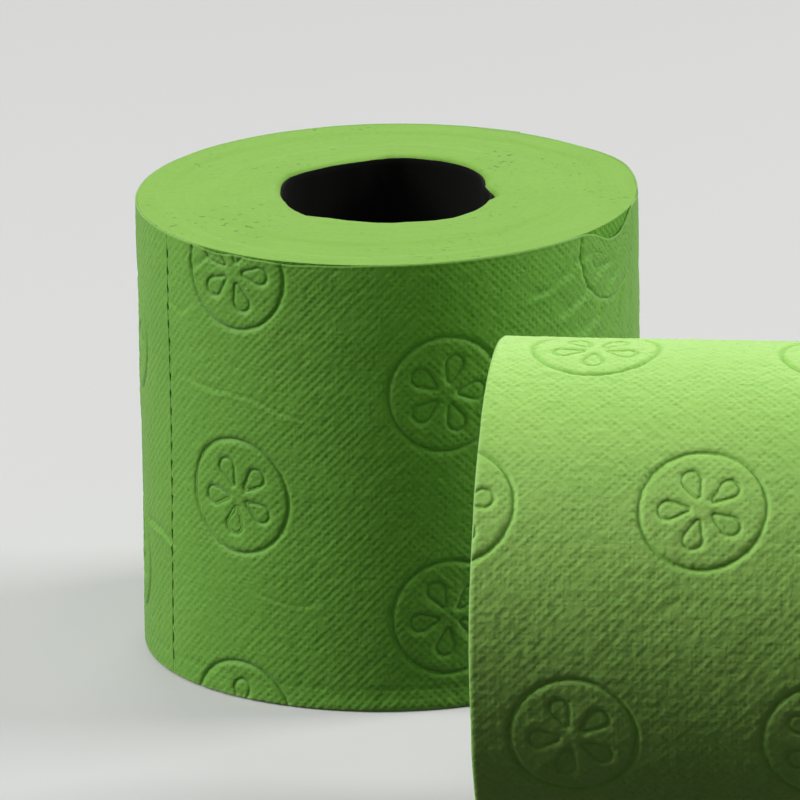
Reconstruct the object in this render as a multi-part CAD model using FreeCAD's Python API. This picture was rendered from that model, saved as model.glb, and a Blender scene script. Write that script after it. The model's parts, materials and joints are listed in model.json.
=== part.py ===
import FreeCAD, Part
import math
import os

# A set of two rolls of embossed household tissue, each wound on a cardboard tube.
# One roll stands on its end and the other lies on its side in front of it.
# Lengths are in millimetres and angles in degrees. The origin is on the axis of the
# standing roll's tube, on the surface that both rolls rest on, with +Z up.
# Positions round a roll are angles from its -Y side, growing towards its +X side.

# The winding
SHEET_WIDTH = 96.4           # width of the sheet, so the length of a roll
ROLL_RADIUS = 52.5           # outside of the last turn
SHEET_THICKNESS = 0.4        # step that the free end of the last turn leaves
SHEET_LENGTH = 140.0         # distance between two tear lines
STANDING_TAIL = 146.5        # where the free end lies on the standing roll
LYING_TAIL = -116.0          # where the free end lies on the lying roll

# The cardboard tube
CORE_RADIUS = 22.3           # outside of the tube
CORE_WALL = 0.6
CORE_FIT = 0.05              # gap between the tube and the first turn
CORE_RECESS = 0.3            # how far the tube ends below the upper end of the winding
WINDING_SHIFT_X = 0.7        # the standing roll is wound out of centre
WINDING_SHIFT_Y = -3.0

# Wear of the standing roll
RIM_WEAR = 1.6               # its lower rim is worn off
MOUTH_STRETCH = 1.5          # its upper mouth is drawn out to the front and the back
MOUTH_DEPTH = 2.0
NOTCH_REACH = 1.9            # a torn place at the right of the mouth
NOTCH_WIDTH = 8.0
NOTCH_DEPTH = 4.0
NOTCH_Y = -3.0

# On each end a bundle of turns sits a little lower than the others
BUNDLE_MARGIN = 6.0          # from the last turn to the bundle
BUNDLE_WIDTH = 9.0
BUNDLE_DEPTH = 0.3

# Tear line
SLIT_PITCH = 3.8
SLIT_LENGTH = 2.0
SLIT_WIDTH = 0.5
SLIT_DEPTH = 0.5

# Embossed flowers, each in a ring, in a half-drop repeat
EMBOSS_DEPTH = 0.5
COLUMN_PITCH = 46.0
ROW_PITCH = 48.2
FIRST_COLUMN = 23.0          # from the free end
FIRST_ROW = 20.0
RING_RADIUS = 12.2           # middle of the ring's groove
GROOVE_WIDTH = 1.1
RING_SIDES = 10
PETAL_COUNT = 5
PETAL_START = 2.2
PETAL_END = 8.4
PETAL_WIDTH = 4.2
FLOWER_TURN = 29.0           # each flower is turned from the one before

# The lying roll
LYING_YAW = 7.37             # how far its axis turns towards the viewer
LYING_END_X = 21.3           # centre of its left end
LYING_END_Y = -138.8
LYING_FLAT = 0.4             # how far the soft roll sinks in at the floor

REACH = 3.0                  # how far a cutter stands out of what it cuts
UP = FreeCAD.Vector(0, 0, 1)
CENTRE = FreeCAD.Vector(0, 0, 0)


def outward(angle):
    """Unit vector from the axis of a roll to its side at an angle."""
    turn = math.radians(angle)
    return FreeCAD.Vector(math.sin(turn), -math.cos(turn), 0)


def sideways(angle):
    """Unit vector along the surface of a roll, towards growing angles."""
    turn = math.radians(angle)
    return FreeCAD.Vector(math.cos(turn), math.sin(turn), 0)


def arc_angle(arc_length):
    """Angle of a length of sheet on the last turn."""
    return math.degrees(arc_length / ROLL_RADIUS)


def one_turn(radius, step, tail):
    """Two half circles that end one step further in than they began."""
    start = outward(tail) * radius
    middle = outward(tail) * -radius
    end = outward(tail) * (radius - step)
    second_centre = outward(tail) * (-step / 2)
    first_side = sideways(tail) * radius
    second_side = second_centre - sideways(tail) * (radius - step / 2)
    return [Part.Arc(start, first_side, middle).toShape(),
            Part.Arc(middle, second_side, end).toShape()]


def winding_section(inset, tail):
    """Section of the winding, with the free end of the sheet as a small step."""
    radius = ROLL_RADIUS - inset
    step = outward(tail) * (radius - SHEET_THICKNESS)
    edges = one_turn(radius, SHEET_THICKNESS, tail)
    edges.append(Part.makeLine(step, outward(tail) * radius))
    return Part.Face(Part.Wire(edges))


def low_bundles(tail):
    """Cutters for the bundle of turns that sits low on both ends of a roll."""
    outer = winding_section(BUNDLE_MARGIN, tail)
    inner = winding_section(BUNDLE_MARGIN + BUNDLE_WIDTH, tail)
    lower = outer.cut(inner).extrude(UP * (BUNDLE_DEPTH + REACH))
    upper = lower.copy()
    lower.translate(UP * -REACH)
    upper.translate(UP * (SHEET_WIDTH - BUNDLE_DEPTH))
    return [upper, lower]


def prism(points, angle, height, bottom):
    """Cutter in the side of a roll, from an outline drawn flat on the sheet."""
    out = outward(angle)
    side = sideways(angle)
    start = out * bottom + UP * height
    corners = [start + side * x + UP * y for x, y in points]
    face = Part.Face(Part.makePolygon(corners + corners[:1]))
    return face.extrude(out * (ROLL_RADIUS + REACH - bottom))


def polygon(radius, sides):
    """Corners of a regular outline round the middle of a flower."""
    step = 2 * math.pi / sides
    return [(radius * math.cos(n * step), radius * math.sin(n * step)) for n in range(sides)]


def petal(turn):
    """Outline of a petal that points away from the middle of its flower."""
    half = PETAL_WIDTH / 2
    outline = [(PETAL_START, 0), (PETAL_END, -half), (PETAL_END, half)]
    c = math.cos(math.radians(turn))
    s = math.sin(math.radians(turn))
    return [(x * c - y * s, x * s + y * c) for x, y in outline]


def flower(angle, height, turn):
    """A ring with a flower of separate petals inside it."""
    bottom = ROLL_RADIUS - REACH
    half = GROOVE_WIDTH / 2
    outer = prism(polygon(RING_RADIUS + half, RING_SIDES), angle, height, bottom)
    inner = prism(polygon(RING_RADIUS - half, RING_SIDES), angle, height, bottom)
    pieces = [outer.cut(inner)]
    for n in range(PETAL_COUNT):
        pieces.append(prism(petal(turn + n * 360 / PETAL_COUNT), angle, height, bottom))
    return pieces


def flower_places(tail):
    """Angle, height and turn of each flower that the last turn shows."""
    places = []
    circumference = 2 * math.pi * ROLL_RADIUS
    reach = RING_RADIUS + GROOVE_WIDTH / 2
    columns = int((circumference - FIRST_COLUMN - reach) / COLUMN_PITCH) + 1
    rows = int(SHEET_WIDTH / ROW_PITCH) + 2
    for column in range(columns):
        angle = tail + arc_angle(FIRST_COLUMN + column * COLUMN_PITCH)
        drop = ROW_PITCH / 2 if column % 2 else 0
        for row in range(rows):
            height = FIRST_ROW - drop + row * ROW_PITCH
            if -RING_RADIUS < height < SHEET_WIDTH + RING_RADIUS:
                places.append((angle, height, FLOWER_TURN * (column + row)))
    return places


def tear_slits(tail):
    """Slits of the tear lines that the last turn shows."""
    slits = []
    circumference = 2 * math.pi * ROLL_RADIUS
    lines = int(circumference / SHEET_LENGTH)
    half_length = SLIT_LENGTH / 2
    half_width = SLIT_WIDTH / 2
    outline = [(-half_width, -half_length), (half_width, -half_length),
               (half_width, half_length), (-half_width, half_length)]
    count = int((SHEET_WIDTH - SLIT_LENGTH) / SLIT_PITCH)
    first = (SHEET_WIDTH - (count - 1) * SLIT_PITCH) / 2
    for line in range(1, lines + 1):
        angle = tail + arc_angle(line * SHEET_LENGTH)
        surface = ROLL_RADIUS - SHEET_THICKNESS * line * SHEET_LENGTH / circumference
        for n in range(count):
            slits.append(prism(outline, angle, first + n * SLIT_PITCH, surface - SLIT_DEPTH))
    return slits


def surface_layer(depth, tail):
    """The outermost part of a winding, down to a depth."""
    outer = winding_section(-REACH / 2, tail)
    inner = winding_section(depth, tail)
    return outer.cut(inner).extrude(UP * SHEET_WIDTH)


def winding(tail, shift):
    """A full winding with the bore for its tube along the Z axis."""
    body = winding_section(0, tail).extrude(UP * SHEET_WIDTH)
    emboss = []
    for angle, height, turn in flower_places(tail):
        emboss += flower(angle, height, turn)
    grooves = Part.makeCompound(emboss).common(surface_layer(EMBOSS_DEPTH, tail))
    body = body.cut(low_bundles(tail))
    body = body.cut(grooves)
    body = body.cut(tear_slits(tail))
    body.translate(shift)
    bore = Part.makeCylinder(CORE_RADIUS + CORE_FIT, SHEET_WIDTH + 2 * REACH, UP * -REACH)
    return body.cut(bore)


def tube():
    """The cardboard tube, upright, with its lower end at the origin."""
    length = SHEET_WIDTH - CORE_RECESS
    outer = Part.makeCylinder(CORE_RADIUS, length)
    inner = Part.makeCylinder(CORE_RADIUS - CORE_WALL, length + 2 * REACH, UP * -REACH)
    return outer.cut(inner)


def worn_rim():
    """Cutter that takes off the lower rim of a winding round the Z axis."""
    corners = [FreeCAD.Vector(ROLL_RADIUS - RIM_WEAR - REACH, 0, -REACH),
               FreeCAD.Vector(ROLL_RADIUS + REACH, 0, -REACH),
               FreeCAD.Vector(ROLL_RADIUS + REACH, 0, RIM_WEAR + REACH)]
    face = Part.Face(Part.makePolygon(corners + corners[:1]))
    return face.revolve(CENTRE, UP, 360)


def drawn_mouth():
    """Cutters that draw the upper mouth of a bore out to the front and the back."""
    cutters = []
    for y in (-MOUTH_STRETCH, MOUTH_STRETCH):
        bottom = FreeCAD.Vector(0, y, SHEET_WIDTH - MOUTH_DEPTH)
        cutters.append(Part.makeCylinder(CORE_RADIUS + CORE_FIT, MOUTH_DEPTH + REACH, bottom))
    return cutters


def torn_notch():
    """Cutter for the torn place at the right of the upper mouth."""
    edge = CORE_RADIUS + CORE_FIT
    bottom = SHEET_WIDTH - NOTCH_DEPTH
    outline = [(edge - REACH, NOTCH_WIDTH / 2), (edge, NOTCH_WIDTH / 2),
               (edge + NOTCH_REACH, 0), (edge, -NOTCH_WIDTH / 2), (edge - REACH, -NOTCH_WIDTH / 2)]
    corners = [FreeCAD.Vector(x, NOTCH_Y + y, bottom) for x, y in outline]
    face = Part.Face(Part.makePolygon(corners + corners[:1]))
    return face.extrude(UP * (NOTCH_DEPTH + REACH))


def standing_winding():
    """Winding of the standing roll, with its wear."""
    shift = FreeCAD.Vector(WINDING_SHIFT_X, WINDING_SHIFT_Y, 0)
    rim = worn_rim()
    rim.translate(shift)
    body = winding(STANDING_TAIL, shift)
    body = body.cut(rim)
    body = body.cut(drawn_mouth())
    return body.cut(torn_notch())


def lay_down(shape):
    """Lays an upright roll on its side, where the second roll lies."""
    shape.rotate(CENTRE, FreeCAD.Vector(0, 1, 0), 90)
    shape.rotate(CENTRE, UP, -LYING_YAW)
    shape.translate(FreeCAD.Vector(LYING_END_X, LYING_END_Y, ROLL_RADIUS - LYING_FLAT))
    return shape


def lying_winding():
    """Winding of the lying roll, flat where it rests on the floor."""
    body = lay_down(winding(LYING_TAIL, CENTRE))
    size = 4 * ROLL_RADIUS
    floor = Part.makeBox(size, size, size, FreeCAD.Vector(-size / 2, -size / 2, -size))
    floor.translate(FreeCAD.Vector(LYING_END_X, LYING_END_Y, 0))
    return body.cut(floor)


def write(shape, name):
    """Writes the one solid of a piece."""
    solid = shape.Solids[0]
    print(name, "solids", len(shape.Solids), "valid", solid.isValid(), "volume", round(solid.Volume, 1))
    solid.exportStep("parts/" + name + ".step")


os.makedirs("parts", exist_ok=True)
write(standing_winding(), "standing_roll_paper")
write(tube(), "standing_roll_core")
write(lying_winding(), "lying_roll_paper")
write(lay_down(tube()), "lying_roll_core")
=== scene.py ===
import json
import math
from types import SimpleNamespace

import bpy
import numpy as np
from mathutils import Matrix, Vector


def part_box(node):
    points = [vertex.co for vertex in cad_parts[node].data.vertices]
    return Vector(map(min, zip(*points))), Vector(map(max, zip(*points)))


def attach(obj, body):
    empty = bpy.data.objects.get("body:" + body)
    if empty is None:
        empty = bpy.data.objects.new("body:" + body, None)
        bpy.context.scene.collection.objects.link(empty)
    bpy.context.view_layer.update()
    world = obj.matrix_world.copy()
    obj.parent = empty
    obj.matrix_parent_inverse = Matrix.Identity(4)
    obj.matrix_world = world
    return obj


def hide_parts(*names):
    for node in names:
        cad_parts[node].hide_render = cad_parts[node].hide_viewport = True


# The looks of two rolls of embossed green tissue on dark tubes. Lengths are in
# millimetres until a mesh is made. A roll is built upright round its own axis:
# "angle" starts at its -Y side and grows towards its +X side, "along" is the
# length of sheet from the free end of the last turn, and "across" runs over the
# width of the sheet from the roll's lower end.

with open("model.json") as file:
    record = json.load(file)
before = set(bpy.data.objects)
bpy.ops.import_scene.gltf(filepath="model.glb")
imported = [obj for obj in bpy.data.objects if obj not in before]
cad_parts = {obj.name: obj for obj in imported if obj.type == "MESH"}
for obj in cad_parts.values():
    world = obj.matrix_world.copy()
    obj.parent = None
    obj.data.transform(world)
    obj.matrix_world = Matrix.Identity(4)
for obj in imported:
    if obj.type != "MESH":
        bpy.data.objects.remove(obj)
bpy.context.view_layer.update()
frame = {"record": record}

MM = 0.001


def mount(name):
    """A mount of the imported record, by name."""
    return next(m for m in frame["record"]["mounts"] if m["name"] == name)


paper_low, paper_high = (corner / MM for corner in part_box("standing_roll_paper"))
tube_low, tube_high = (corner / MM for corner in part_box("standing_roll_core"))
lying_bore = mount("lying_core_bore")

# The winding
ROLL_RADIUS = (paper_high.x - paper_low.x) / 2
SHEET_WIDTH = paper_high.z - paper_low.z
WINDING_X = (paper_high.x + paper_low.x) / 2
WINDING_Y = (paper_high.y + paper_low.y) / 2
TURN_LENGTH = 2 * math.pi * ROLL_RADIUS
SHEET_STEP = 0.4             # the last turn ends this much further in than it began
SHEET_THICKNESS = 0.30
SHEET_LENGTH = 140.0         # between two tear lines
TUCKED = 8.0                 # sheet that is seen under the free end
STANDING_TAIL = 146.5        # angles of the free ends
LYING_TAIL = -116.0
LYING_SINK = ROLL_RADIUS - lying_bore["pos_m"][2] / MM
SINK_REACH = 12.0            # how deep the flat spot is felt inside the winding

# The cardboard tube
TUBE_RADIUS = tube_high.x
TUBE_LENGTH = tube_high.z
BORE_RADIUS = lying_bore["dims"]["r_mm"]
TUBE_FIT = 0.05
SEAM_PITCH = 62.0            # rise of the tube's spiral seam in one turn
SEAM_DEPTH = 0.14
SEAM_HALF = 0.7
TUBE_COLUMNS = 240
TUBE_RINGS_OUTSIDE = 13
TUBE_RINGS_INSIDE = 80
TUBE_EDGE = 0.25             # height of its rounded rim
TUBE_CREASE = [(70, 92), (66.5, 84), (67, 60)]  # inside the worn tube: arc and height
TUBE_CREASE_DEPTH = 0.35

# The mesh of a sheet. Two columns or rows make one cell of the fine pattern.
COLUMNS_PER_SHEET = 300
ROWS = 206
COLUMN_STEP = SHEET_LENGTH / COLUMNS_PER_SHEET
ROW_STEP = SHEET_WIDTH / ROWS
DOT_CELL_ALONG = 2 * COLUMN_STEP
DOT_CELL_ACROSS = 2 * ROW_STEP
DOT_DEPTH = 0.20
DOT_SHARPNESS = 1.15         # how narrow the ridges between the points are

# Ringed flowers in a half-drop repeat
COLUMN_PITCH = 46.0
ROW_PITCH = 48.2
FIRST_COLUMN = 23.0
FIRST_ROW = 20.0
FLOWER_TURN = 29.0           # degrees from one flower to the next
FLOWER_ROWS = 4
RING_RADIUS = 12.2
RING_DEPTH = 0.55
RING_HALF = 0.48
PETALS = 5
PETAL_ROOT = 3.0             # middle of the petal's round root, from the flower's middle
PETAL_ROOT_RADIUS = 0.55
PETAL_TIP = 6.5
PETAL_TIP_RADIUS = 1.9
PETAL_LINE_DEPTH = 0.46
PETAL_LINE_HALF = 0.44
PETAL_SINK = 0.20
LINE_HALF = 0.36             # the crease in the middle of each pressed line

# Tear line
SLIT_PITCH = 3.8
SLIT_LENGTH = 2.0
SLIT_HALF = 0.28
SLIT_COUNT = int((SHEET_WIDTH - SLIT_LENGTH) / SLIT_PITCH)
FIRST_SLIT = (SHEET_WIDTH - (SLIT_COUNT - 1) * SLIT_PITCH) / 2

# The ends of a winding
LOW_TURN = math.radians(80)  # how far the sheet's edges roll in
HIGH_TURN = math.radians(12)
END_COLUMNS = 600
BUNDLE_MARGIN = 6.0          # a bundle of turns that sits low, from the last turn
BUNDLE_WIDTH = 9.0
BUNDLE_DEPTH = 0.25
BUNDLE_EDGE = 0.8
MOUTH_WEAR = 0.75
MOUTH_WEAR_REACH = 0.55
END_SHARES = [0, 0.006, 0.016, 0.034, *np.linspace(0.06, 0.94, 30), 0.966, 0.984, 0.994, 1]
BACK_GAP = 0.05              # between the last turn and the turns under it
BACKING = 0.46               # the last turn's inner face lies this much further in
BACKING_START = 9.0          # from this far along the sheet
TORN_INSET = 0.38            # the wall that a torn edge lays bare
WALL_INSET = 1.1             # the winding's wall behind the last turn
WALL_RINGS = [(0.30, SHEET_THICKNESS + BACK_GAP), (0.8, 0.46), (1.6, 0.62), (2.6, 0.72), (4.0, 0.80),
              (7.0, 0.95), (20.0, WALL_INSET), (SHEET_WIDTH / 2, WALL_INSET),
              (SHEET_WIDTH - 7.0, WALL_INSET)]  # each below the upper edge, and its inset
WALL_PLACE = 60.0            # marks that wall in the winding's attribute

# The upper mouth of the standing roll, round the tube's axis: angle and radius
MOUTH = [(0, 22.8), (17, 23.5), (34, 24.9), (50, 24.3), (63, 23.6), (70, 23.3), (77.6, 24.4),
         (84, 23.5), (91, 22.1), (97, 21.6), (114, 23.4), (130, 24.9), (147, 26.1), (163, 26.0),
         (177, 25.6), (183, 23.2), (205, 22.4), (225, 22.4), (237, 23.5), (250, 22.4), (262, 21.5),
         (286, 21.0), (306, 22.1), (317, 22.9), (328, 21.9), (343, 21.9)]
TUBE_FRONT_RECESS = 0.9      # the standing tube ends lower at its front

# Colours, linear
# TISSUE_DEEP is both the tissue's darker patches and the painted shade in the pits of its fine pattern and
# its creases
TISSUE_LIGHT = (0.225, 0.540, 0.058)
TISSUE_DEEP = (0.080, 0.320, 0.014)
# The lying roll's sheets: the same tissue painted lighter and whiter, as painted light and sheen for the
# bright light on its upper side
PAINTED_LIGHT_TISSUE = (0.460, 0.800, 0.160)
PAINTED_LIGHT_TISSUE_DEEP = (0.160, 0.540, 0.034)
CUT_LIGHT = (0.250, 0.490, 0.072)
CUT_DEEP = (0.185, 0.410, 0.046)
SPECK = (0.075, 0.240, 0.025)
FRINGE = (0.420, 0.780, 0.200)
# The tube's own near-black, taken darker still: painted shade for the inside of the hole
BOARD_LIGHT = (0.007, 0.007, 0.006)
BOARD_DEEP = (0.003, 0.003, 0.003)
FLOOR_SEEN = (0.50, 0.50, 0.496)
FLOOR_GLOW = 0.16            # seen by the camera alone
FLOOR_BOUNCE = (0.02, 0.02, 0.02)
FLOOR_RADIUS = 20000.0
FLOOR_CORNERS = 96
FLOOR_GAP = 0.02             # under the rolls

# Light and camera, in metres and radians. A lamp has its place, side and power.
WORLD_LEVEL = 0.018
LAMP_AIM = Vector((0.03, -0.06, 0.06))
LAMPS = [("top_lamp", (0.0, -0.25, 1.50), 0.8, 5.4),
         ("left_lamp", (-1.17, -0.08, 0.80), 0.55, 14.0),
         ("right_lamp", (1.20, 0.20, 0.80), 0.55, 14.0),
         ("front_lamp", (-0.50, -1.60, 1.60), 0.9, 0.1),
         ("back_lamp", (0.05, 1.45, 1.10), 0.9, 9.0)]
CAMERA_LENS = 405.0          # millimetres
CAMERA_HEADING = 0.0012062
CAMERA_DOWN = 0.3097641
CAMERA_ROLL = -0.0189990
CAMERA_PLACE = Vector((0.0007, -1.80665, 0.62828))


def smooth(start, end, x):
    """Goes from 0 to 1 between two values, with soft ends."""
    t = np.clip((x - start) / (end - start), 0, 1)
    return t * t * (3 - 2 * t)


def noise(x, y, cell, seed):
    """Smooth random field between -1 and 1, with features about one cell wide."""
    size = 256
    table = np.random.default_rng(seed).uniform(-1, 1, (size, size))
    column = np.floor(x / cell)
    row = np.floor(y / cell)
    u = smooth(0, 1, x / cell - column)
    v = smooth(0, 1, y / cell - row)
    i = column.astype(int) % size
    j = row.astype(int) % size
    near = table[i, j] * (1 - u) + table[(i + 1) % size, j] * u
    far = table[i, (j + 1) % size] * (1 - u) + table[(i + 1) % size, (j + 1) % size] * u
    return near * (1 - v) + far * v


def to_line(x, y, points):
    """Distance from each place to a broken line, and how far along it the place is."""
    best = np.full(np.shape(x), 1e9)
    share = np.zeros(np.shape(x))
    parts = len(points) - 1
    for n in range(parts):
        (x0, y0), (x1, y1) = points[n], points[n + 1]
        dx = x1 - x0
        dy = y1 - y0
        t = np.clip(((x - x0) * dx + (y - y0) * dy) / (dx * dx + dy * dy), 0, 1)
        distance = np.hypot(x - x0 - t * dx, y - y0 - t * dy)
        nearer = distance < best
        best = np.where(nearer, distance, best)
        share = np.where(nearer, (n + t) / parts, share)
    return best, share


def fold(x, y, points, depth, half):
    """A soft fold along a broken line: a groove with a low ridge under it."""
    x = x + 0.7 * noise(x, y, 5.0, 11)
    y = y + 0.7 * noise(x, y, 4.0, 12)
    groove, share = to_line(x, y, points)
    ridge, _ = to_line(x, y + 1.7 * half, points)
    fade = np.clip(6 * share, 0.15, 1) * np.clip(6 * (1 - share), 0.15, 1)
    return depth * fade * (np.exp(-(groove / half) ** 2) - 0.55 * np.exp(-(ridge / half) ** 2))


def petal_edge(x, y):
    """Distance to the outline of a petal that points along x, negative inside it."""
    y = np.abs(y)
    x = x - PETAL_ROOT
    length = PETAL_TIP - PETAL_ROOT
    slope = (PETAL_ROOT_RADIUS - PETAL_TIP_RADIUS) / length
    level = math.sqrt(1 - slope * slope)
    place = -slope * y + level * x
    root = np.hypot(x, y) - PETAL_ROOT_RADIUS
    tip = np.hypot(x - length, y) - PETAL_TIP_RADIUS
    side = level * y + slope * x - PETAL_ROOT_RADIUS
    return np.where(place < 0, root, np.where(place > level * length, tip, side))


def flower(x, y, turn):
    """How far one ringed flower is pressed in round its middle."""
    pressed = RING_DEPTH * np.exp(-((np.hypot(x, y) - RING_RADIUS) / RING_HALF) ** 2)
    for n in range(PETALS):
        angle = math.radians(turn + n * 360 / PETALS)
        c = math.cos(angle)
        s = math.sin(angle)
        edge = petal_edge(x * c + y * s, y * c - x * s)
        pressed = np.maximum(pressed, PETAL_LINE_DEPTH * np.exp(-(edge / PETAL_LINE_HALF) ** 2))
        pressed = np.maximum(pressed, PETAL_SINK * smooth(0, 0.9, -edge))
    return pressed


def flowers(along, across):
    """How far the flowers of a whole turn are pressed in."""
    pressed = np.zeros(np.shape(along))
    reach = RING_RADIUS + 3 * RING_HALF
    columns = int((TURN_LENGTH - FIRST_COLUMN - RING_RADIUS) / COLUMN_PITCH) + 1
    for column in range(columns):
        drop = ROW_PITCH / 2 if column % 2 else 0
        for row in range(FLOWER_ROWS):
            x = along - (FIRST_COLUMN + column * COLUMN_PITCH)
            y = across - (FIRST_ROW - drop + row * ROW_PITCH)
            near = np.hypot(x, y) < reach
            if near.any():
                added = flower(x[near], y[near], FLOWER_TURN * (column + row))
                pressed[near] = np.maximum(pressed[near], added)
    return pressed


def dots(along, across):
    """The fine pattern of pressed points, from 0 to 1."""
    x = math.pi * along / DOT_CELL_ALONG
    y = math.pi * across / DOT_CELL_ACROSS
    points = (0.5 + 0.5 * np.cos(x + y)) * (0.5 + 0.5 * np.cos(x - y))
    return 1 - (1 - points) ** DOT_SHARPNESS


# Folds of each roll: a line of points (arc from the roll's front, place across the sheet),
# its depth and its half width
STANDING_FOLDS = [([(-52, 67), (-41, 66.4), (-30, 65.5), (-14, 62)], 0.20, 0.55),
                  ([(-70, 31), (-60, 30.5), (-52, 29)], 0.34, 0.65),
                  ([(-32, 25), (-24, 22.5), (-14, 22)], 0.16, 0.5),
                  ([(-46.5, 96), (-48.5, 91.5)], 0.30, 0.6),
                  ([(-40.5, 96), (-43.0, 92.5), (-46, 90)], 0.32, 0.6),
                  ([(-60, 84), (-50, 81), (-44, 84)], 0.16, 0.7),
                  ([(58, 90), (48, 84), (38, 80)], 0.42, 1.1),
                  ([(62, 87), (52, 78), (45, 74)], 0.46, 1.1),
                  ([(66, 85), (58, 72), (50, 66)], 0.38, 1.1),
                  ([(70, 84), (65, 66)], 0.20, 0.9),
                  ([(50, 93), (40, 88), (30, 86)], 0.32, 0.9),
                  ([(-140, 74), (-128, 70), (-118, 70)], 0.22, 0.7),
                  ([(-105, 20), (-96, 26), (-88, 27)], 0.18, 0.7),
                  ([(112, 84), (104, 76), (101, 66)], 0.20, 0.7),
                  ([(120, 40), (132, 34), (141, 35)], 0.20, 0.7)]
LYING_FOLDS = [([(-60, 30), (-49, 34), (-40, 33)], 0.12, 0.7),
               ([(20, 62), (27, 70), (36, 73)], 0.18, 0.7),
               ([(-130, 50), (-118, 57), (-109, 56)], 0.18, 0.7),
               ([(-96, 88), (-84, 84), (-74, 86)], 0.16, 0.7)]


def folds(roll, x, y):
    """All folds of a roll, and the line that its worn lower rim leaves."""
    wear = np.zeros(np.shape(x))
    for points, depth, half in roll.folds:
        wear += fold(x, y, points, depth, half)
    if roll.worn:
        line = 0.2 * np.exp(-((y - 4.9) / 0.45) ** 2)
        wear += line * (0.6 + 0.4 * noise(x, y, 9.0, 21))
    return wear


def wrinkles(roll, along, across):
    """Fine crumples in patches, as handling leaves them."""
    lines = np.clip(1 - 3.5 * np.abs(noise(along, across, 7.0, roll.seed + 7)), 0, 1)
    where = smooth(0.0, 0.7, noise(along, across, 33.0, roll.seed + 8))
    return roll.crumple * lines * where


def bulge(roll, along, across):
    """How far the last turns stand out where the roll isn't round."""
    out = np.zeros(np.shape(along))
    for place, width, level, reach, height in roll.bulges:
        arc = (along - roll.front - place + TURN_LENGTH / 2) % TURN_LENGTH - TURN_LENGTH / 2
        out = out + height * np.exp(-(arc / width) ** 2 - ((across - level) / reach) ** 2)
    return out


def body_relief(roll, along, across):
    """Wear and slow waves of the last turn: how far it lies in."""
    lift = 0.12 * np.exp(-along / 2.5)
    waves = 0.12 * noise(along, across, 19.0, roll.seed) + 0.08 * noise(along, across, 8.0, roll.seed + 1)
    plain = folds(roll, along - roll.front, across) + wrinkles(roll, along, across)
    return plain + waves + 0.10 - lift - bulge(roll, along, across)


def sheet_relief(roll, along, across):
    """How far the outside of the last turn lies in, with its pattern; and the pressed part."""
    whole = smooth(0, 1.1, SHEET_WIDTH - across) * smooth(0, 1.1, across)
    pressed = flowers(along, across) * whole
    for arc, level, reach, share in roll.flattened:
        near = np.exp(-((along - roll.front - arc) / reach) ** 2 - ((across - level) / reach) ** 2)
        pressed = pressed * (1 - share * near)
    fine = DOT_DEPTH * dots(along, across) * (1 - 0.8 * np.clip(pressed / PETAL_LINE_DEPTH, 0, 1))
    uneven = 0.30 * noise(along, across, 6.0, roll.seed + 2)
    uneven = uneven + 0.60 * noise(along, across, 1.7, roll.seed + 3)
    uneven = uneven + 0.30 * noise(along, across, 24.0, roll.seed + 6)
    calm = np.ones(np.shape(along))
    for place, width, share in roll.calm:
        calm = calm - share * np.exp(-((along - roll.front - place) / width) ** 2)
    fine *= calm * np.maximum(1 + uneven, 0.15)
    grain = roll.grain * noise(along, across, 0.9, roll.seed + 4)
    return body_relief(roll, along, across) + pressed + (fine + grain) * whole, pressed


def rim(roll, across):
    """How the sheet's edges roll in: inset, height and lean of the surface."""
    low = roll.low_rim
    high = roll.high_rim
    low_length = low * LOW_TURN
    high_length = high * HIGH_TURN
    low_rise = low * math.sin(LOW_TURN)
    high_rise = high * math.sin(HIGH_TURN)
    middle = (across - low_length) / (SHEET_WIDTH - low_length - high_length)
    height = low_rise + middle * (SHEET_WIDTH - low_rise - high_rise)
    low_lean = LOW_TURN * np.clip(1 - across / low_length, 0, 1)
    high_lean = HIGH_TURN * np.clip(1 - (SHEET_WIDTH - across) / high_length, 0, 1)
    height = np.where(low_lean > 0, low_rise - low * np.sin(low_lean), height)
    height = np.where(high_lean > 0, SHEET_WIDTH - high_rise + high * np.sin(high_lean), height)
    inset = low * (1 - np.cos(low_lean)) + high * (1 - np.cos(high_lean))
    return inset, height, low_lean - high_lean


def edge_drop(roll, along):
    """How far the upper edge of the last turn stands short of the turns behind it."""
    drop = 0.02 + 0.02 * noise(along, along * 0, 6.0, roll.seed + 5)
    for place, width, depth in roll.edge_drops:
        drop = drop + depth * np.exp(-np.abs((along - roll.front - place) / width) ** 2.5)
    return np.maximum(drop, 0)


def ragged(roll, along, across):
    """How far each place of the sheet is pushed down by its worn upper edge."""
    drop = edge_drop(roll, along)
    reach = 3.0 + 2.8 * drop
    return drop * smooth(0, 1, 1 - (SHEET_WIDTH - across) / reach)


def settle(roll, points, depth):
    """Lays the flat spot of a roll that lies on its side. Its local +X side is down."""
    if roll.sink:
        level = np.maximum(depth, 0) - roll.sink * np.clip(depth / SINK_REACH, 0, 1)
        points[..., 0] = np.minimum(points[..., 0], ROLL_RADIUS - roll.sink - level)
    return points


def sheet_points(roll, along, across, depth, torn=True):
    """Places in the roll's own frame, a depth inside the plain last turn."""
    inset, height, lean = rim(roll, across)
    spiral = SHEET_STEP * along / TURN_LENGTH
    radius = ROLL_RADIUS - spiral - inset - depth * np.cos(lean)
    height = height + depth * np.sin(lean)
    if torn:
        height = height - ragged(roll, along, across)
    height = np.maximum(height, 0)
    angle = math.radians(roll.tail) + along / ROLL_RADIUS
    points = np.stack([radius * np.sin(angle), -radius * np.cos(angle), height], axis=-1)
    return settle(roll, points, ROLL_RADIUS - radius)


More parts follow.
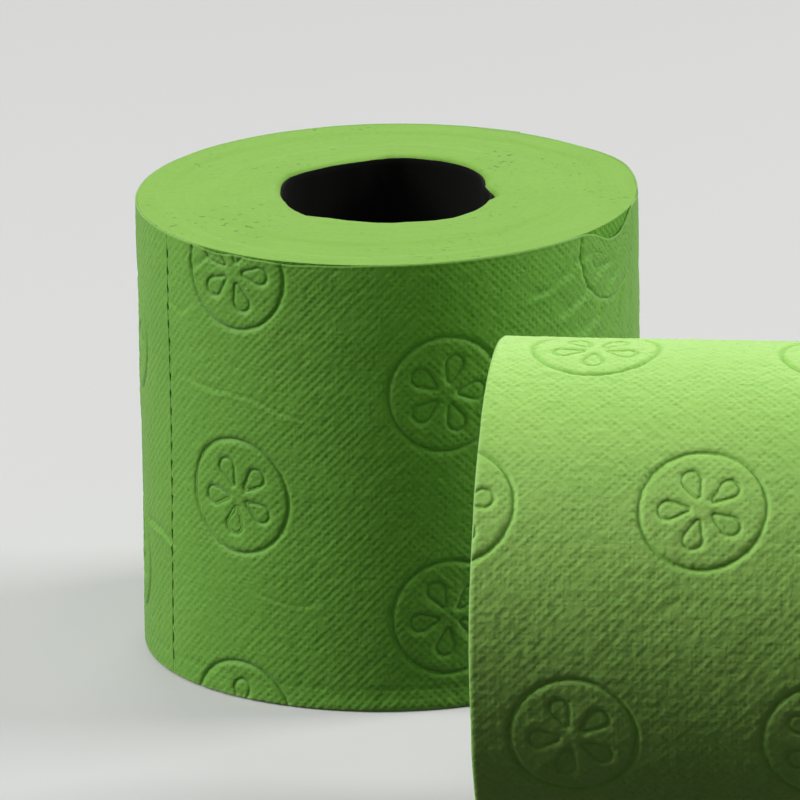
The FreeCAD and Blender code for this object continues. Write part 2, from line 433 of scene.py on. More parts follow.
def make_mesh(name, points, quads, polygons, place, flat_from):
    """A mesh in metres with smooth quads, then polygons that are flat from a given face on."""
    mesh = bpy.data.meshes.new(name)
    sizes = [4] * len(quads) + [len(p) for p in polygons]
    lists = [np.asarray(quads, np.int32).ravel()] + [np.asarray(p, np.int32) for p in polygons]
    corners = np.concatenate(lists)
    starts = np.concatenate([[0], np.cumsum(sizes)[:-1]]).astype(np.int32)
    mesh.vertices.add(len(points))
    mesh.vertices.foreach_set("co", (points * MM).astype(np.float32).ravel())
    mesh.loops.add(len(corners))
    mesh.loops.foreach_set("vertex_index", corners.astype(np.int32))
    mesh.polygons.add(len(sizes))
    mesh.polygons.foreach_set("loop_start", starts)
    shading = np.arange(len(sizes)) < flat_from
    mesh.polygons.foreach_set("use_smooth", shading)
    attribute = mesh.attributes.new("place", "FLOAT_VECTOR", "POINT")
    attribute.data.foreach_set("vector", place.astype(np.float32).ravel())
    mesh.update(calc_edges=True)
    mesh.validate()
    return mesh


def ring_mesh(name, rings, places, reverse=False):
    """A closed surface through rings of points, each with its places in the pattern."""
    points = np.stack(rings, axis=1)
    place = np.stack(places, axis=1)
    columns, count = points.shape[:2]
    i, j = np.meshgrid(np.arange(columns), np.arange(count), indexing="ij")
    next_i = (i + 1) % columns
    next_j = (j + 1) % count
    quads = np.stack([i * count + j, next_i * count + j,
                      next_i * count + next_j, i * count + next_j], axis=-1).reshape(-1, 4)
    if reverse:
        quads = np.roll(quads[:, ::-1], 1, axis=1)
    return make_mesh(name, points.reshape(-1, 3), quads, [], place.reshape(-1, 3), len(quads))


def add_piece(name, mesh, matrix, material, nodes):
    """Puts a piece where its roll is, on the one body."""
    piece = bpy.data.objects.new(name, mesh)
    piece.matrix_world = matrix
    bpy.context.scene.collection.objects.link(piece)
    mesh.materials.append(material)
    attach(piece, "root")
    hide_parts(*nodes)
    return piece


def slit_gap(across):
    """How far the edge of a sheet stands back at the slits of a tear line."""
    n = np.clip(np.round((across - FIRST_SLIT) / SLIT_PITCH), 0, SLIT_COUNT - 1)
    distance = np.abs(across - FIRST_SLIT - n * SLIT_PITCH)
    return SLIT_HALF * (1 - smooth(SLIT_LENGTH / 2 - 0.35, SLIT_LENGTH / 2 + 0.15, distance))


def grid_faces(columns, rows, first):
    """Quads of a grid of points that is stored column by column."""
    i, j = np.meshgrid(np.arange(columns - 1), np.arange(rows - 1), indexing="ij")
    a = first + i * rows + j
    return np.stack([a, a + rows, a + rows + 1, a + 1], axis=-1).reshape(-1, 4)


def sheet_piece(roll, number, start, end, material):
    """One sheet of the last turn, as a thin closed shell between two tear lines."""
    columns = int(round((end - start) / COLUMN_STEP)) + 1
    rows = ROWS + 1
    line = np.linspace(start, end, columns)
    height = np.linspace(0, SHEET_WIDTH, rows)
    along, across = np.meshgrid(line, height, indexing="ij")
    relief, pressed = sheet_relief(roll, along, across)
    shape = along.copy()
    gap = slit_gap(height)
    if start > 0:
        shape[0] += gap
    if end < TURN_LENGTH - 1:
        shape[-1] -= gap
    outer = sheet_points(roll, shape, across, relief)

    # The inner face has few rows, apart from its two end columns.
    low_row = int(math.ceil(roll.low_rim * LOW_TURN / ROW_STEP)) + 4
    high_row = int(math.ceil(roll.high_rim * HIGH_TURN / ROW_STEP)) + 4
    kept = [0, low_row, rows - 1 - high_row, rows - 1]
    backing = BACKING * smooth(BACKING_START, BACKING_START + 1.2, line) * (line < TURN_LENGTH - 1)
    plain = body_relief(roll, along, across)
    inner_depth = relief + SHEET_THICKNESS
    for row in kept[1:3]:
        inner_depth[:, row] = plain[:, row] + SHEET_THICKNESS + backing
    for end_column in (0, -1):
        inner_depth[end_column] = relief[end_column] + SHEET_THICKNESS
    inner = sheet_points(roll, shape, across, inner_depth)

    index = np.full((columns, rows), -1)
    index[0] = np.arange(rows)
    index[-1] = np.arange(rows) + rows
    middle = np.arange((columns - 2) * len(kept)).reshape(columns - 2, len(kept)) + 2 * rows
    for n, row in enumerate(kept):
        index[1:-1, row] = middle[:, n]
    first = columns * rows
    index = np.where(index >= 0, index + first, index)
    chosen = index >= 0
    order = np.argsort(index[chosen])
    points = np.concatenate([outer.reshape(-1, 3), inner[chosen][order]])
    place = np.stack([along, across, pressed], axis=-1)
    place = np.concatenate([place.reshape(-1, 3), place[chosen][order]])

    # The faces: the outside, the inside, then the four narrow edges.
    front = grid_faces(columns, rows, 0)
    polygons = []
    i = np.arange(columns - 1)
    for n in range(len(kept) - 1):
        lower = kept[n]
        upper = kept[n + 1]
        for k in range(columns - 1):
            left = [index[k, j] for j in range(lower, upper + 1) if index[k, j] >= 0]
            right = [index[k + 1, j] for j in range(lower, upper + 1) if index[k + 1, j] >= 0]
            polygons.append(left + right[::-1])
    smooth_faces = len(front) + len(polygons)
    corner = np.arange(columns * rows).reshape(columns, rows)
    bottom = np.stack([corner[i, 0], index[i, 0], index[i + 1, 0], corner[i + 1, 0]], axis=-1)
    top = np.stack([corner[i, -1], corner[i + 1, -1], index[i + 1, -1], index[i, -1]], axis=-1)
    j = np.arange(rows - 1)
    left = np.stack([corner[0, j], corner[0, j + 1], index[0, j + 1], index[0, j]], axis=-1)
    right = np.stack([corner[-1, j], index[-1, j], index[-1, j + 1], corner[-1, j + 1]], axis=-1)
    polygons += [list(q) for q in np.concatenate([bottom, top, left, right])]
    mesh = make_mesh(f"{roll.name}_sheet_{number}", points, front, polygons, place, smooth_faces)
    return add_piece(mesh.name, mesh, roll.matrix, material, roll.nodes)


def mouth_radius(roll, angle):
    """Radius of the upper mouth round the tube's axis, at angles in radians."""
    if not roll.worn:
        return np.full(np.shape(angle), TUBE_RADIUS + TUBE_FIT)
    turn = np.degrees(angle) % 360
    places = [a for a, _ in MOUTH]
    radii = [r for _, r in MOUTH]
    return np.interp(turn, places + [360], radii + radii[:1])


def winding_piece(roll, material):
    """The turns under the last one: both ends, the bore and the wall behind the sheets."""
    along = TUCKED + TURN_LENGTH * np.arange(END_COLUMNS) / END_COLUMNS
    angle = math.radians(roll.tail) + along / ROLL_RADIUS
    out = np.stack([np.sin(angle), -np.cos(angle)], axis=-1)
    bore = np.array([roll.bore_x, roll.bore_y])
    short = edge_drop(roll, along)
    lip = roll.lip * smooth(0.10, 0.32, short) * smooth(1.6, 1.2, short)

    def rim_point(across):
        """Where the end meets the last turn. At its worn upper edge the end reaches over it."""
        level = np.full(along.shape, across)
        relief, _ = sheet_relief(roll, along, level)
        depth = relief + SHEET_THICKNESS + BACK_GAP - (lip if across > 0 else 0)
        return sheet_points(roll, along, level, depth, torn=False)

    rings = []
    places = []

    def end_rings(top):
        """Rings from the bore to the last turn, on one end."""
        limit = rim_point(SHEET_WIDTH if top else 0.0)
        mouth = mouth_radius(roll, angle) if top else np.full(along.shape, TUBE_RADIUS + TUBE_FIT)
        inside = bore + mouth[:, None] * out
        span = limit[:, :2] - inside
        width = np.hypot(span[:, 0], span[:, 1])
        made = []
        for share in END_SHARES:
            flat = inside + share * span
            d_in = share * width
            d_out = (1 - share) * width
            turn = d_in * 30.0 / np.mean(width)
            bundle_end = BUNDLE_MARGIN + BUNDLE_WIDTH
            low = smooth(BUNDLE_MARGIN - BUNDLE_EDGE, BUNDLE_MARGIN + BUNDLE_EDGE, d_out)
            low = low * (1 - smooth(bundle_end - BUNDLE_EDGE, bundle_end + BUNDLE_EDGE, d_out))
            seed = roll.seed + (40 if top else 60)
            sway = 0.07 * noise(turn * 3, along, 9.0, seed)
            sway = sway + 0.03 * noise(turn * 12, along, 14.0, seed + 1)
            sway = sway + 0.03 * noise(turn * 4, along, 1.5, seed + 2)
            worn = MOUTH_WEAR * np.exp(-d_in / MOUTH_WEAR_REACH)
            drop = worn + BUNDLE_DEPTH * low + 0.08 + sway * (1 - np.exp(-d_out / 1.5))
            drop = np.maximum(drop, 0.0)
            if top:
                edge_height = np.full(along.shape, SHEET_WIDTH - 0.06)
                height = SHEET_WIDTH - drop
            else:
                edge_height = limit[:, 2]
                height = drop
            height = height + (edge_height - height) * np.exp(-d_out / 0.5)
            point = np.stack([flat[:, 0], flat[:, 1], height], axis=-1)
            made.append((settle(roll, point, np.maximum(d_out, 0) + 0.4), turn))
        return made

    def add(points, turn):
        rings.append(points)
        places.append(np.stack([turn, along, points[:, 2]], axis=-1))

    for points, turn in end_rings(True):
        add(points, turn)
    for below, inset in WALL_RINGS:
        level = np.full(along.shape, SHEET_WIDTH - below)
        torn = smooth(0.7, 1.6, short) if below < 3 else 0.0
        depth = body_relief(roll, along, level) + inset * (1 - torn) + TORN_INSET * torn
        points = sheet_points(roll, along, level, depth, torn=False)
        add(points, np.full(along.shape, WALL_PLACE))
    for points, turn in reversed(end_rings(False)):
        add(points, turn)
    upper = mouth_radius(roll, angle)
    for height in (2.0, 30.0, 60.0, SHEET_WIDTH - 4.5, SHEET_WIDTH - 3.0, SHEET_WIDTH - 1.7):
        share = smooth(SHEET_WIDTH - 5.0, SHEET_WIDTH - 1.6, np.array(height))
        plain = tube_outside(roll, angle, height) + TUBE_FIT
        radius = np.maximum(plain * (1 - share) + upper * share, plain * (height < SHEET_WIDTH - 2.0))
        flat = bore + radius[:, None] * out
        points = np.stack([flat[:, 0], flat[:, 1], np.full(along.shape, height)], axis=-1)
        add(points, np.zeros(along.shape))

    mesh = ring_mesh(f"{roll.name}_winding", rings, places, reverse=True)
    return add_piece(mesh.name, mesh, roll.matrix, material, roll.nodes)


def tube_outside(roll, angle, height):
    """Outer radius of the tube, which follows the worn mouth near its upper end."""
    if not roll.worn:
        return np.full(np.shape(angle), TUBE_RADIUS)
    share = smooth(SHEET_WIDTH - 45, SHEET_WIDTH, np.array(height, float))
    goal = np.clip(mouth_radius(roll, angle), 21.7, 25.2) - 0.15
    kernel = np.ones(15) / 15
    padded = np.concatenate([goal[-7:], goal, goal[:7]])
    goal = np.convolve(padded, kernel, mode="valid")
    return TUBE_RADIUS + share * (goal - TUBE_RADIUS)


def tube_piece(roll, material):
    """The cardboard tube, with its spiral seam and worn rims."""
    angle = 2 * math.pi * np.arange(TUBE_COLUMNS) / TUBE_COLUMNS
    out = np.stack([np.sin(angle), -np.cos(angle)], axis=-1)
    wall = TUBE_RADIUS - BORE_RADIUS
    rings = []
    places = []

    def add(inset, height):
        edge = tube_outside(roll, angle, height)
        flat = (edge - inset)[:, None] * out
        level = np.broadcast_to(np.asarray(height, float), angle.shape)
        fuzz = 0.05 * noise(np.degrees(angle), np.degrees(angle) * 0, 4.0, roll.seed + 80)
        at_end = smooth(TUBE_LENGTH - 8.0, TUBE_LENGTH, level)
        recess = TUBE_FRONT_RECESS * (0.5 + 0.5 * np.cos(angle)) if roll.worn else 0.0
        rings.append(np.stack([flat[:, 0], flat[:, 1], level - (np.abs(fuzz) + recess) * at_end], axis=-1))
        places.append(np.stack([angle * TUBE_RADIUS, level, np.full(angle.shape, inset)], axis=-1))

    for height in np.linspace(TUBE_EDGE, TUBE_LENGTH - TUBE_EDGE, TUBE_RINGS_OUTSIDE):
        add(0.0, height)
    add(0.12, TUBE_LENGTH - 0.06)
    add(wall / 2, TUBE_LENGTH)
    add(wall - 0.12, TUBE_LENGTH - 0.06)
    for height in np.linspace(TUBE_LENGTH - TUBE_EDGE, TUBE_EDGE, TUBE_RINGS_INSIDE):
        phase = (height / SEAM_PITCH - angle / (2 * math.pi) + 0.35) % 1.0
        offset = np.minimum(phase, 1 - phase) * SEAM_PITCH
        seam = SEAM_DEPTH * np.exp(-(offset / SEAM_HALF) ** 2)
        dent = 0.0
        if roll.worn:
            crease, _ = to_line(angle * TUBE_RADIUS, np.full(angle.shape, height), TUBE_CREASE)
            dent = TUBE_CREASE_DEPTH * np.exp(-(crease / SEAM_HALF) ** 2)
        add(wall - seam + dent, height)
    add(wall - 0.12, 0.06)
    add(wall / 2, 0.0)
    add(0.12, 0.06)

    mesh = ring_mesh(f"{roll.name}_tube", rings, places)
    return add_piece(mesh.name, mesh, roll.tube_matrix, material, roll.tube_nodes)


# Materials


class Nodes:
    """Short calls for building one material."""

    def __init__(self, name):
        self.material = bpy.data.materials.new(name)
        self.material.use_nodes = True
        self.tree = self.material.node_tree
        self.tree.nodes.clear()

    def add(self, kind, **settings):
        node = self.tree.nodes.new(kind)
        for key, value in settings.items():
            setattr(node, key, value)
        return node

    def join(self, source, target):
        self.tree.links.new(source, target)

    def value(self, socket, source):
        """Sets a socket to a number, or links it."""
        if isinstance(source, (int, float)):
            socket.default_value = source
        else:
            self.join(source, socket)

    def math(self, operation, a, b=0.0):
        node = self.add("ShaderNodeMath", operation=operation)
        self.value(node.inputs[0], a)
        self.value(node.inputs[1], b)
        return node.outputs[0]

    def total(self, *terms):
        """Sum of sockets, each with its own weight."""
        result = 0.0
        for socket, weight in terms:
            result = self.math("ADD", result, self.math("MULTIPLY", socket, weight))
        return result

    def length(self, x, y):
        return self.math("SQRT", self.math("ADD", self.math("MULTIPLY", x, x), self.math("MULTIPLY", y, y)))

    def ridge(self, distance, half):
        """Falls from 1 at a line to 0 beside it."""
        share = self.math("DIVIDE", distance, half)
        return self.math("EXPONENT", self.math("MULTIPLY", self.math("MULTIPLY", share, share), -1.0))

    def noise(self, vector, scale, detail=3.0, roughness=0.5):
        node = self.add("ShaderNodeTexNoise")
        self.join(vector, node.inputs["Vector"])
        node.inputs["Scale"].default_value = scale
        node.inputs["Detail"].default_value = detail
        node.inputs["Roughness"].default_value = roughness
        return node.outputs["Fac"]

    def stretch(self, vector, scale):
        node = self.add("ShaderNodeMapping")
        self.join(vector, node.inputs["Vector"])
        node.inputs["Scale"].default_value = scale
        return node.outputs["Vector"]

    def span(self, source, low, high, new_low, new_high):
        node = self.add("ShaderNodeMapRange")
        self.join(source, node.inputs["Value"])
        node.inputs["From Min"].default_value = low
        node.inputs["From Max"].default_value = high
        node.inputs["To Min"].default_value = new_low
        node.inputs["To Max"].default_value = new_high
        return node.outputs["Result"]

    def contrast(self, source):
        """Spreads a noise field over 0 to 1."""
        return self.span(source, 0.3, 0.7, 0.0, 1.0)

    def mix(self, share, a, b):
        node = self.add("ShaderNodeMix", data_type="RGBA")
        self.value(node.inputs["Factor"], share)
        for socket, colour in ((node.inputs[6], a), (node.inputs[7], b)):
            if isinstance(colour, tuple):
                socket.default_value = (*colour, 1)
            else:
                self.join(colour, socket)
        return node.outputs[2]

    def bump(self, height, distance, strength, normal=None):
        node = self.add("ShaderNodeBump")
        self.join(height, node.inputs["Height"])
        node.inputs["Distance"].default_value = distance
        node.inputs["Strength"].default_value = strength
        if normal is not None:
            self.join(normal, node.inputs["Normal"])
        return node.outputs["Normal"]


def pressed_points(n, along, across):
    """The fine pattern of pressed points, from 0 to 1, from two sockets in millimetres."""
    x = n.math("MULTIPLY", along, math.pi / DOT_CELL_ALONG)
    y = n.math("MULTIPLY", across, math.pi / DOT_CELL_ACROSS)
    rising = n.math("COSINE", n.math("ADD", x, y))
    falling = n.math("COSINE", n.math("SUBTRACT", x, y))
    first = n.math("ADD", n.math("MULTIPLY", rising, 0.5), 0.5)
    second = n.math("ADD", n.math("MULTIPLY", falling, 0.5), 0.5)
    ridges = n.math("SUBTRACT", 1.0, n.math("MULTIPLY", first, second))
    return n.math("SUBTRACT", 1.0, n.math("POWER", ridges, DOT_SHARPNESS))


def flower_lines(n, along, across):
    """The creases of the ringed flowers, from 0 to 1, from two sockets in millimetres."""
    column_place = n.math("DIVIDE", n.math("SUBTRACT", along, FIRST_COLUMN), COLUMN_PITCH)
    column = n.math("FLOOR", n.math("ADD", column_place, 0.5))
    x = n.math("MULTIPLY", n.math("SUBTRACT", column_place, column), COLUMN_PITCH)
    drop = n.math("MULTIPLY", n.math("MODULO", column, 2.0), ROW_PITCH / 2)
    row_place = n.math("DIVIDE", n.math("ADD", n.math("SUBTRACT", across, FIRST_ROW), drop), ROW_PITCH)
    row = n.math("FLOOR", n.math("ADD", row_place, 0.5))
    y = n.math("MULTIPLY", n.math("SUBTRACT", row_place, row), ROW_PITCH)
    radius = n.length(x, y)
    ring = n.math("SUBTRACT", radius, RING_RADIUS)

    share = 2 * math.pi / PETALS
    turn = n.math("MULTIPLY", n.math("ADD", column, row), math.radians(FLOWER_TURN))
    angle = n.math("SUBTRACT", n.math("ARCTAN2", y, x), turn)
    nearest = n.math("ROUND", n.math("DIVIDE", angle, share))
    angle = n.math("SUBTRACT", angle, n.math("MULTIPLY", nearest, share))
    u = n.math("SUBTRACT", n.math("MULTIPLY", radius, n.math("COSINE", angle)), PETAL_ROOT)
    v = n.math("ABSOLUTE", n.math("MULTIPLY", radius, n.math("SINE", angle)))
    length = PETAL_TIP - PETAL_ROOT
    slope = (PETAL_ROOT_RADIUS - PETAL_TIP_RADIUS) / length
    level = math.sqrt(1 - slope * slope)
    place = n.math("SUBTRACT", n.math("MULTIPLY", u, level), n.math("MULTIPLY", v, slope))
    at_root = n.math("LESS_THAN", place, 0.0)
    at_tip = n.math("GREATER_THAN", place, level * length)
    at_side = n.math("SUBTRACT", n.math("SUBTRACT", 1.0, at_root), at_tip)
    root = n.math("SUBTRACT", n.length(u, v), PETAL_ROOT_RADIUS)
    tip = n.math("SUBTRACT", n.length(n.math("SUBTRACT", u, length), v), PETAL_TIP_RADIUS)
    side = n.math("ADD", n.math("MULTIPLY", v, level), n.math("MULTIPLY", u, slope))
    side = n.math("SUBTRACT", side, PETAL_ROOT_RADIUS)
    petal = n.math("ADD", n.math("MULTIPLY", root, at_root), n.math("MULTIPLY", tip, at_tip))
    petal = n.math("ADD", petal, n.math("MULTIPLY", side, at_side))
    return n.math("MAXIMUM", n.ridge(ring, LINE_HALF), n.ridge(petal, LINE_HALF))


class Tissue(Nodes):
    """The fields that each tissue material uses, and the soft finish of tissue."""

    def __init__(self, name):
        super().__init__(name)
        self.place = self.add("ShaderNodeAttribute", attribute_name="place").outputs["Vector"]
        parts = self.add("ShaderNodeSeparateXYZ")
        self.join(self.place, parts.inputs[0])
        self.parts = parts.outputs
        self.coordinates = self.add("ShaderNodeTexCoord").outputs["Object"]
        self.fibres = self.noise(self.coordinates, 2600.0, 5.0, 0.65)
        self.patches = self.noise(self.coordinates, 60.0, 3.0, 0.5)
        self.crumbs = self.noise(self.coordinates, 900.0, 3.0, 0.6)

    def finish(self, colour, normal, roughness, specular, sheen):
        shader = self.add("ShaderNodeBsdfPrincipled")
        self.join(colour, shader.inputs["Base Color"])
        self.join(self.span(self.fibres, 0.3, 0.7, roughness, roughness + 0.15), shader.inputs["Roughness"])
        self.join(normal, shader.inputs["Normal"])
        shader.inputs["Specular IOR Level"].default_value = specular
        shader.inputs["Sheen Weight"].default_value = sheen
        shader.inputs["Sheen Roughness"].default_value = 0.40
        shader.inputs["Sheen Tint"].default_value = (1.0, 0.98, 0.84, 1)
        output = self.add("ShaderNodeOutputMaterial")
        self.join(shader.outputs[0], output.inputs["Surface"])
        return self.material


def tissue_ends(name):
    """The ends of a winding, which show the turns' edges, and its wall behind the last turn."""
    n = Tissue(name)
    lines = n.noise(n.stretch(n.place, (1.3, 0.03, 0.0)), 1.0, 4.0, 0.6)
    fine_lines = n.noise(n.stretch(n.place, (5.0, 0.10, 0.0)), 1.0, 3.0, 0.6)
    shade = n.total((n.contrast(lines), 0.22), (n.contrast(fine_lines), 0.10),
                    (n.contrast(n.crumbs), 0.25), (n.contrast(n.patches), 0.20))
    spots = n.span(n.noise(n.coordinates, 700.0, 1.0, 0.5), 0.66, 0.74, 0.0, 1.0)
    where = n.span(n.noise(n.coordinates, 30.0, 2.0, 0.5), 0.46, 0.60, 0.12, 1.0)
    spots = n.math("MULTIPLY", spots, where)
    colour = n.mix(n.math("MULTIPLY", spots, 0.75), n.mix(shade, CUT_LIGHT, CUT_DEEP), SPECK)
    normal = n.bump(lines, 0.00016, 0.5)
    normal = n.bump(fine_lines, 0.00010, 0.5, normal)
    normal = n.bump(n.crumbs, 0.00014, 0.5, normal)
    normal = n.bump(n.fibres, 0.00006, 0.5, normal)
    normal = n.bump(n.math("SUBTRACT", 1.0, spots), 0.00020, 0.5, normal)

    wall = n.span(n.parts[0], WALL_PLACE - 20, WALL_PLACE - 10, 0.0, 1.0)
    points = pressed_points(n, n.parts[1], n.parts[2])
    # The wall's pits are coloured darker as painted shade; its patches are the tissue's own uneven tone
    wall_shade = n.total((points, 0.25), (n.patches, 0.8))
    colour = n.mix(wall, colour, n.mix(wall_shade, TISSUE_LIGHT, TISSUE_DEEP))
    high = n.math("MULTIPLY", n.math("SUBTRACT", 1.0, points), wall)
    normal = n.bump(high, 0.00014, 1.0, normal)
    return n.finish(colour, normal, roughness=0.78, specular=0.30, sheen=0.10)


def tissue_sheet(name, light, deep):
    """The last turn, with the fine pattern of pressed points and the creases of its flowers, and painted
    shade in its pits and creases.
    """
    n = Tissue(name)
    clear = n.span(n.noise(n.coordinates, 330.0, 2.0, 0.6), 0.36, 0.62, 0.15, 1.0)
    points = n.math("MULTIPLY", pressed_points(n, n.parts[0], n.parts[1]), clear)
    pressed = n.span(n.parts[2], 0.05, 0.45, 0.0, 1.0)
    there = n.span(n.parts[2], 0.02, 0.30, 0.0, 1.0)
    lines = n.math("MULTIPLY", flower_lines(n, n.parts[0], n.parts[1]), there)
    # Painted shade: the pits of the fine pattern and the flowers' creases are coloured darker where shade
    # falls in them. The sunk flowers are partly deeper in tone as pressed paper and partly painted shade.
    # Fibres, crumbs and patches are the tissue's own uneven tone.
    shade = n.total((n.contrast(n.fibres), 0.18), (n.contrast(n.crumbs), 0.12),
                    (n.contrast(n.patches), 0.16), (points, 0.18), (pressed, 0.12), (lines, 0.14))
    colour = n.mix(shade, light, deep)
    cut = n.span(n.parts[1], SHEET_WIDTH - 0.25, SHEET_WIDTH - 0.05, 0.0, 1.0)
    fringe = n.span(n.parts[1], 0.4, 1.3, 0.8, 0.0)
    fringe = n.math("MULTIPLY", fringe, n.span(n.crumbs, 0.35, 0.60, 0.25, 1.0))
    colour = n.mix(fringe, n.mix(cut, colour, CUT_DEEP), FRINGE)
    normal = n.bump(n.math("SUBTRACT", 1.0, points), 0.00012, 0.6)
    normal = n.bump(n.math("SUBTRACT", 1.0, lines), 0.00020, 1.0, normal)
    normal = n.bump(n.crumbs, 0.00020, 0.6, normal)
    normal = n.bump(n.fibres, 0.00010, 0.6, normal)
    return n.finish(colour, normal, roughness=0.55, specular=0.50, sheen=0.25)


def board():
    """Matt paper board, near black, and darker still as painted shade for the inside of the hole."""
    n = Nodes("tube_board")
    place = n.add("ShaderNodeAttribute", attribute_name="place")
    coordinates = n.add("ShaderNodeTexCoord").outputs["Object"]
    fibres = n.noise(coordinates, 1600.0, 5.0, 0.65)
    streaks = n.noise(n.stretch(place.outputs["Vector"], (0.5, 3.0, 0.5)), 1.0, 3.0, 0.6)
    shade = n.total((fibres, 0.5), (streaks, 0.5))
    colour = n.mix(n.contrast(shade), BOARD_DEEP, BOARD_LIGHT)
    shader = n.add("ShaderNodeBsdfPrincipled")
    n.join(colour, shader.inputs["Base Color"])
    n.join(n.span(streaks, 0.3, 0.7, 0.80, 0.95), shader.inputs["Roughness"])
    n.join(n.bump(shade, 0.00010, 0.5), shader.inputs["Normal"])
    shader.inputs["Specular IOR Level"].default_value = 0.10
    output = n.add("ShaderNodeOutputMaterial")
    n.join(shader.outputs[0], output.inputs["Surface"])
    return n.material


# Stage, light and camera


def floor_material():
    """A plain pale floor that throws back less light than it shows."""
    n = Nodes("floor")
    path = n.add("ShaderNodeLightPath")
    seen = n.math("MAXIMUM", path.outputs["Is Camera Ray"], path.outputs["Is Glossy Ray"])
    seen = n.math("MAXIMUM", seen, path.outputs["Is Transmission Ray"])
    shader = n.add("ShaderNodeBsdfDiffuse")
    n.join(n.mix(seen, FLOOR_BOUNCE, FLOOR_SEEN), shader.inputs["Color"])
    glow = n.add("ShaderNodeEmission")
    n.join(n.math("MULTIPLY", seen, FLOOR_GLOW), glow.inputs["Strength"])
    both = n.add("ShaderNodeAddShader")
    n.join(shader.outputs[0], both.inputs[0])
    n.join(glow.outputs[0], both.inputs[1])
    output = n.add("ShaderNodeOutputMaterial")
    n.join(both.outputs[0], output.inputs["Surface"])
    return n.material


def make_floor():
    """A large round floor."""
    angle = 2 * math.pi * np.arange(FLOOR_CORNERS) / FLOOR_CORNERS
    level = np.full(FLOOR_CORNERS, -FLOOR_GAP)
    points = np.stack([FLOOR_RADIUS * np.cos(angle), FLOOR_RADIUS * np.sin(angle), level], axis=-1)
    mesh = make_mesh("floor", points, np.zeros((0, 4), int), [list(range(FLOOR_CORNERS))], points, 0)
    mesh.materials.append(floor_material())
    floor = bpy.data.objects.new("floor", mesh)
    bpy.context.scene.collection.objects.link(floor)


def make_world():
    """Soft light from all round, and a pale background."""
    world = bpy.data.worlds.new("studio")
    bpy.context.scene.world = world
    world.use_nodes = True
    tree = world.node_tree
    tree.nodes.clear()
    path = tree.nodes.new("ShaderNodeLightPath")
    light = tree.nodes.new("ShaderNodeBackground")
    light.inputs["Color"].default_value = (1, 1, 1, 1)
    light.inputs["Strength"].default_value = WORLD_LEVEL
    seen = tree.nodes.new("ShaderNodeBackground")
    seen.inputs["Color"].default_value = (*FLOOR_SEEN, 1)
    seen.inputs["Strength"].default_value = 1.0
    mix = tree.nodes.new("ShaderNodeMixShader")
    output = tree.nodes.new("ShaderNodeOutputWorld")
    either = tree.nodes.new("ShaderNodeMath")
    either.operation = "MAXIMUM"
    tree.links.new(path.outputs["Is Camera Ray"], either.inputs[0])
    tree.links.new(path.outputs["Is Glossy Ray"], either.inputs[1])
    tree.links.new(either.outputs[0], mix.inputs[0])
    tree.links.new(light.outputs[0], mix.inputs[1])
    tree.links.new(seen.outputs[0], mix.inputs[2])
    tree.links.new(mix.outputs[0], output.inputs["Surface"])


def make_lamp(name, place, size, power):
    """A soft square lamp that faces the rolls and isn't seen itself."""
    data = bpy.data.lights.new(name, "AREA")
    data.shape = "SQUARE"
    data.size = size
    data.energy = power
    lamp = bpy.data.objects.new(name, data)
    lamp.location = place
    aim = LAMP_AIM - lamp.location
    lamp.rotation_mode = "QUATERNION"
    lamp.rotation_quaternion = aim.to_track_quat("-Z", "Y")
    lamp.visible_camera = False
    bpy.context.scene.collection.objects.link(lamp)


def make_camera():
    """The camera at the photograph's viewing angle."""
    data = bpy.data.cameras.new("camera")
    data.lens = CAMERA_LENS
    data.sensor_width = 36.0
    data.clip_start = 0.05
    data.clip_end = 100.0
    camera = bpy.data.objects.new("camera", data)
    forward = Vector((math.sin(CAMERA_HEADING) * math.cos(CAMERA_DOWN),
                      math.cos(CAMERA_HEADING) * math.cos(CAMERA_DOWN), -math.sin(CAMERA_DOWN)))
    right = Vector((math.cos(CAMERA_HEADING), -math.sin(CAMERA_HEADING), 0))
    up = right.cross(forward)
    turned_right = math.cos(CAMERA_ROLL) * right + math.sin(CAMERA_ROLL) * up
    turned_up = math.cos(CAMERA_ROLL) * up - math.sin(CAMERA_ROLL) * right
    matrix = Matrix((turned_right, turned_up, -forward)).transposed().to_4x4()
    matrix.translation = CAMERA_PLACE
    camera.matrix_world = matrix
    bpy.context.scene.collection.objects.link(camera)
    bpy.context.scene.camera = camera


def lying_matrix():
    """Turns an upright roll onto its side, where the second roll lies."""
    axis = Vector(lying_bore["axis"]).normalized()
    down = Vector((0, 0, -1))
    matrix = Matrix((down, axis.cross(down), axis)).transposed().to_4x4()
    matrix.translation = Vector(lying_bore["pos_m"])
    return matrix


def arc_of_front(tail):
    """Length of sheet between the free end and the roll's front."""
    return math.radians((-tail) % 360) * ROLL_RADIUS


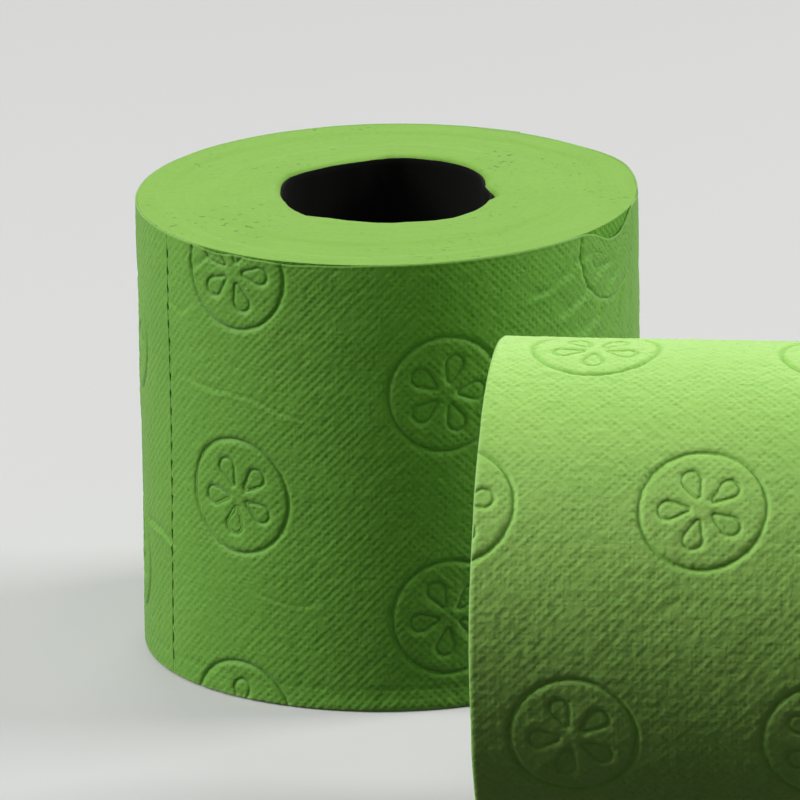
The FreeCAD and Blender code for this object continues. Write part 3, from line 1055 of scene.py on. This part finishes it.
# How each roll is worn. Arcs run along the last turn from the roll's front, and levels
# from its lower end.
# edge_drops: arc, half width and depth of a low stretch of the last turn's upper edge
# bulges: arc and its half width, level and its half height, and how far the turns stand out
# calm: arc, half width and how much weaker the fine pattern is
# flattened: arc, level, reach and how much weaker the flowers are
standing = SimpleNamespace(
    name="standing", tail=STANDING_TAIL, front=arc_of_front(STANDING_TAIL), seed=100, sink=0.0,
    low_rim=0.2, high_rim=0.4, folds=STANDING_FOLDS, worn=True, crumple=0.10, lip=0.10,
    edge_drops=[(-38.5, 4.2, 0.62), (-29.5, 3.2, 0.36), (-21.5, 5.0, 0.58), (-12.0, 6.0, 0.30),
                (59.0, 7.5, 3.6), (79.0, 4.0, 0.5), (103.0, 17.0, 0.30)],
    bulges=[(90.0, 32.0, 50.0, 400.0, 0.75), (104.0, 13.0, 50.0, 400.0, 1.2),
            (140.0, 70.0, 50.0, 400.0, 0.4), (-55.0, 32.0, 0.0, 35.0, 1.0),
            (15.0, 45.0, 1.2, 1.5, 0.40)],
    calm=[(-80.0, 32.0, 0.65), (62.0, 26.0, 0.20)], grain=0.07, flattened=[(61.0, 93.0, 20.0, 0.96)],
    bore_x=-WINDING_X, bore_y=-WINDING_Y,
    matrix=Matrix.Translation(Vector((WINDING_X, WINDING_Y, 0)) * MM), tube_matrix=Matrix.Identity(4),
    nodes=["standing_roll_paper"], tube_nodes=["standing_roll_core"])
lying = SimpleNamespace(
    name="lying", tail=LYING_TAIL, front=arc_of_front(LYING_TAIL), seed=300, sink=LYING_SINK,
    low_rim=0.8, high_rim=0.8, folds=LYING_FOLDS, worn=False, crumple=0.05, lip=0.0,
    edge_drops=[(40.0, 6.0, 0.25), (-75.0, 9.0, 0.20)], bulges=[(-82.0, 45.0, 50.0, 400.0, 0.4)],
    calm=[(-40.0, 400.0, 0.42), (-85.0, 34.0, 0.30), (14.0, 24.0, 0.30)], grain=0.11, flattened=[],
    bore_x=0.0, bore_y=0.0, matrix=lying_matrix(), tube_matrix=lying_matrix(),
    nodes=["lying_roll_paper"], tube_nodes=["lying_roll_core"])

standing.material = tissue_sheet("tissue_sheet", TISSUE_LIGHT, TISSUE_DEEP)
# The lying roll gets the lighter copy of the tissue: painted light for its brightly lit upper side
lying.material = tissue_sheet("tissue_sheet_painted_light", PAINTED_LIGHT_TISSUE, PAINTED_LIGHT_TISSUE_DEEP)
end_material = tissue_ends("tissue_ends")
board_material = board()

for roll in (standing, lying):
    limits = [0.0, SHEET_LENGTH, 2 * SHEET_LENGTH, TURN_LENGTH + TUCKED]
    for number, (start, end) in enumerate(zip(limits, limits[1:]), 1):
        sheet_piece(roll, number, start, end, roll.material)
    winding_piece(roll, end_material)
    tube_piece(roll, board_material)

make_floor()
make_world()
for lamp in LAMPS:
    make_lamp(*lamp)
make_camera()
bpy.context.scene.view_settings.view_transform = "Standard"
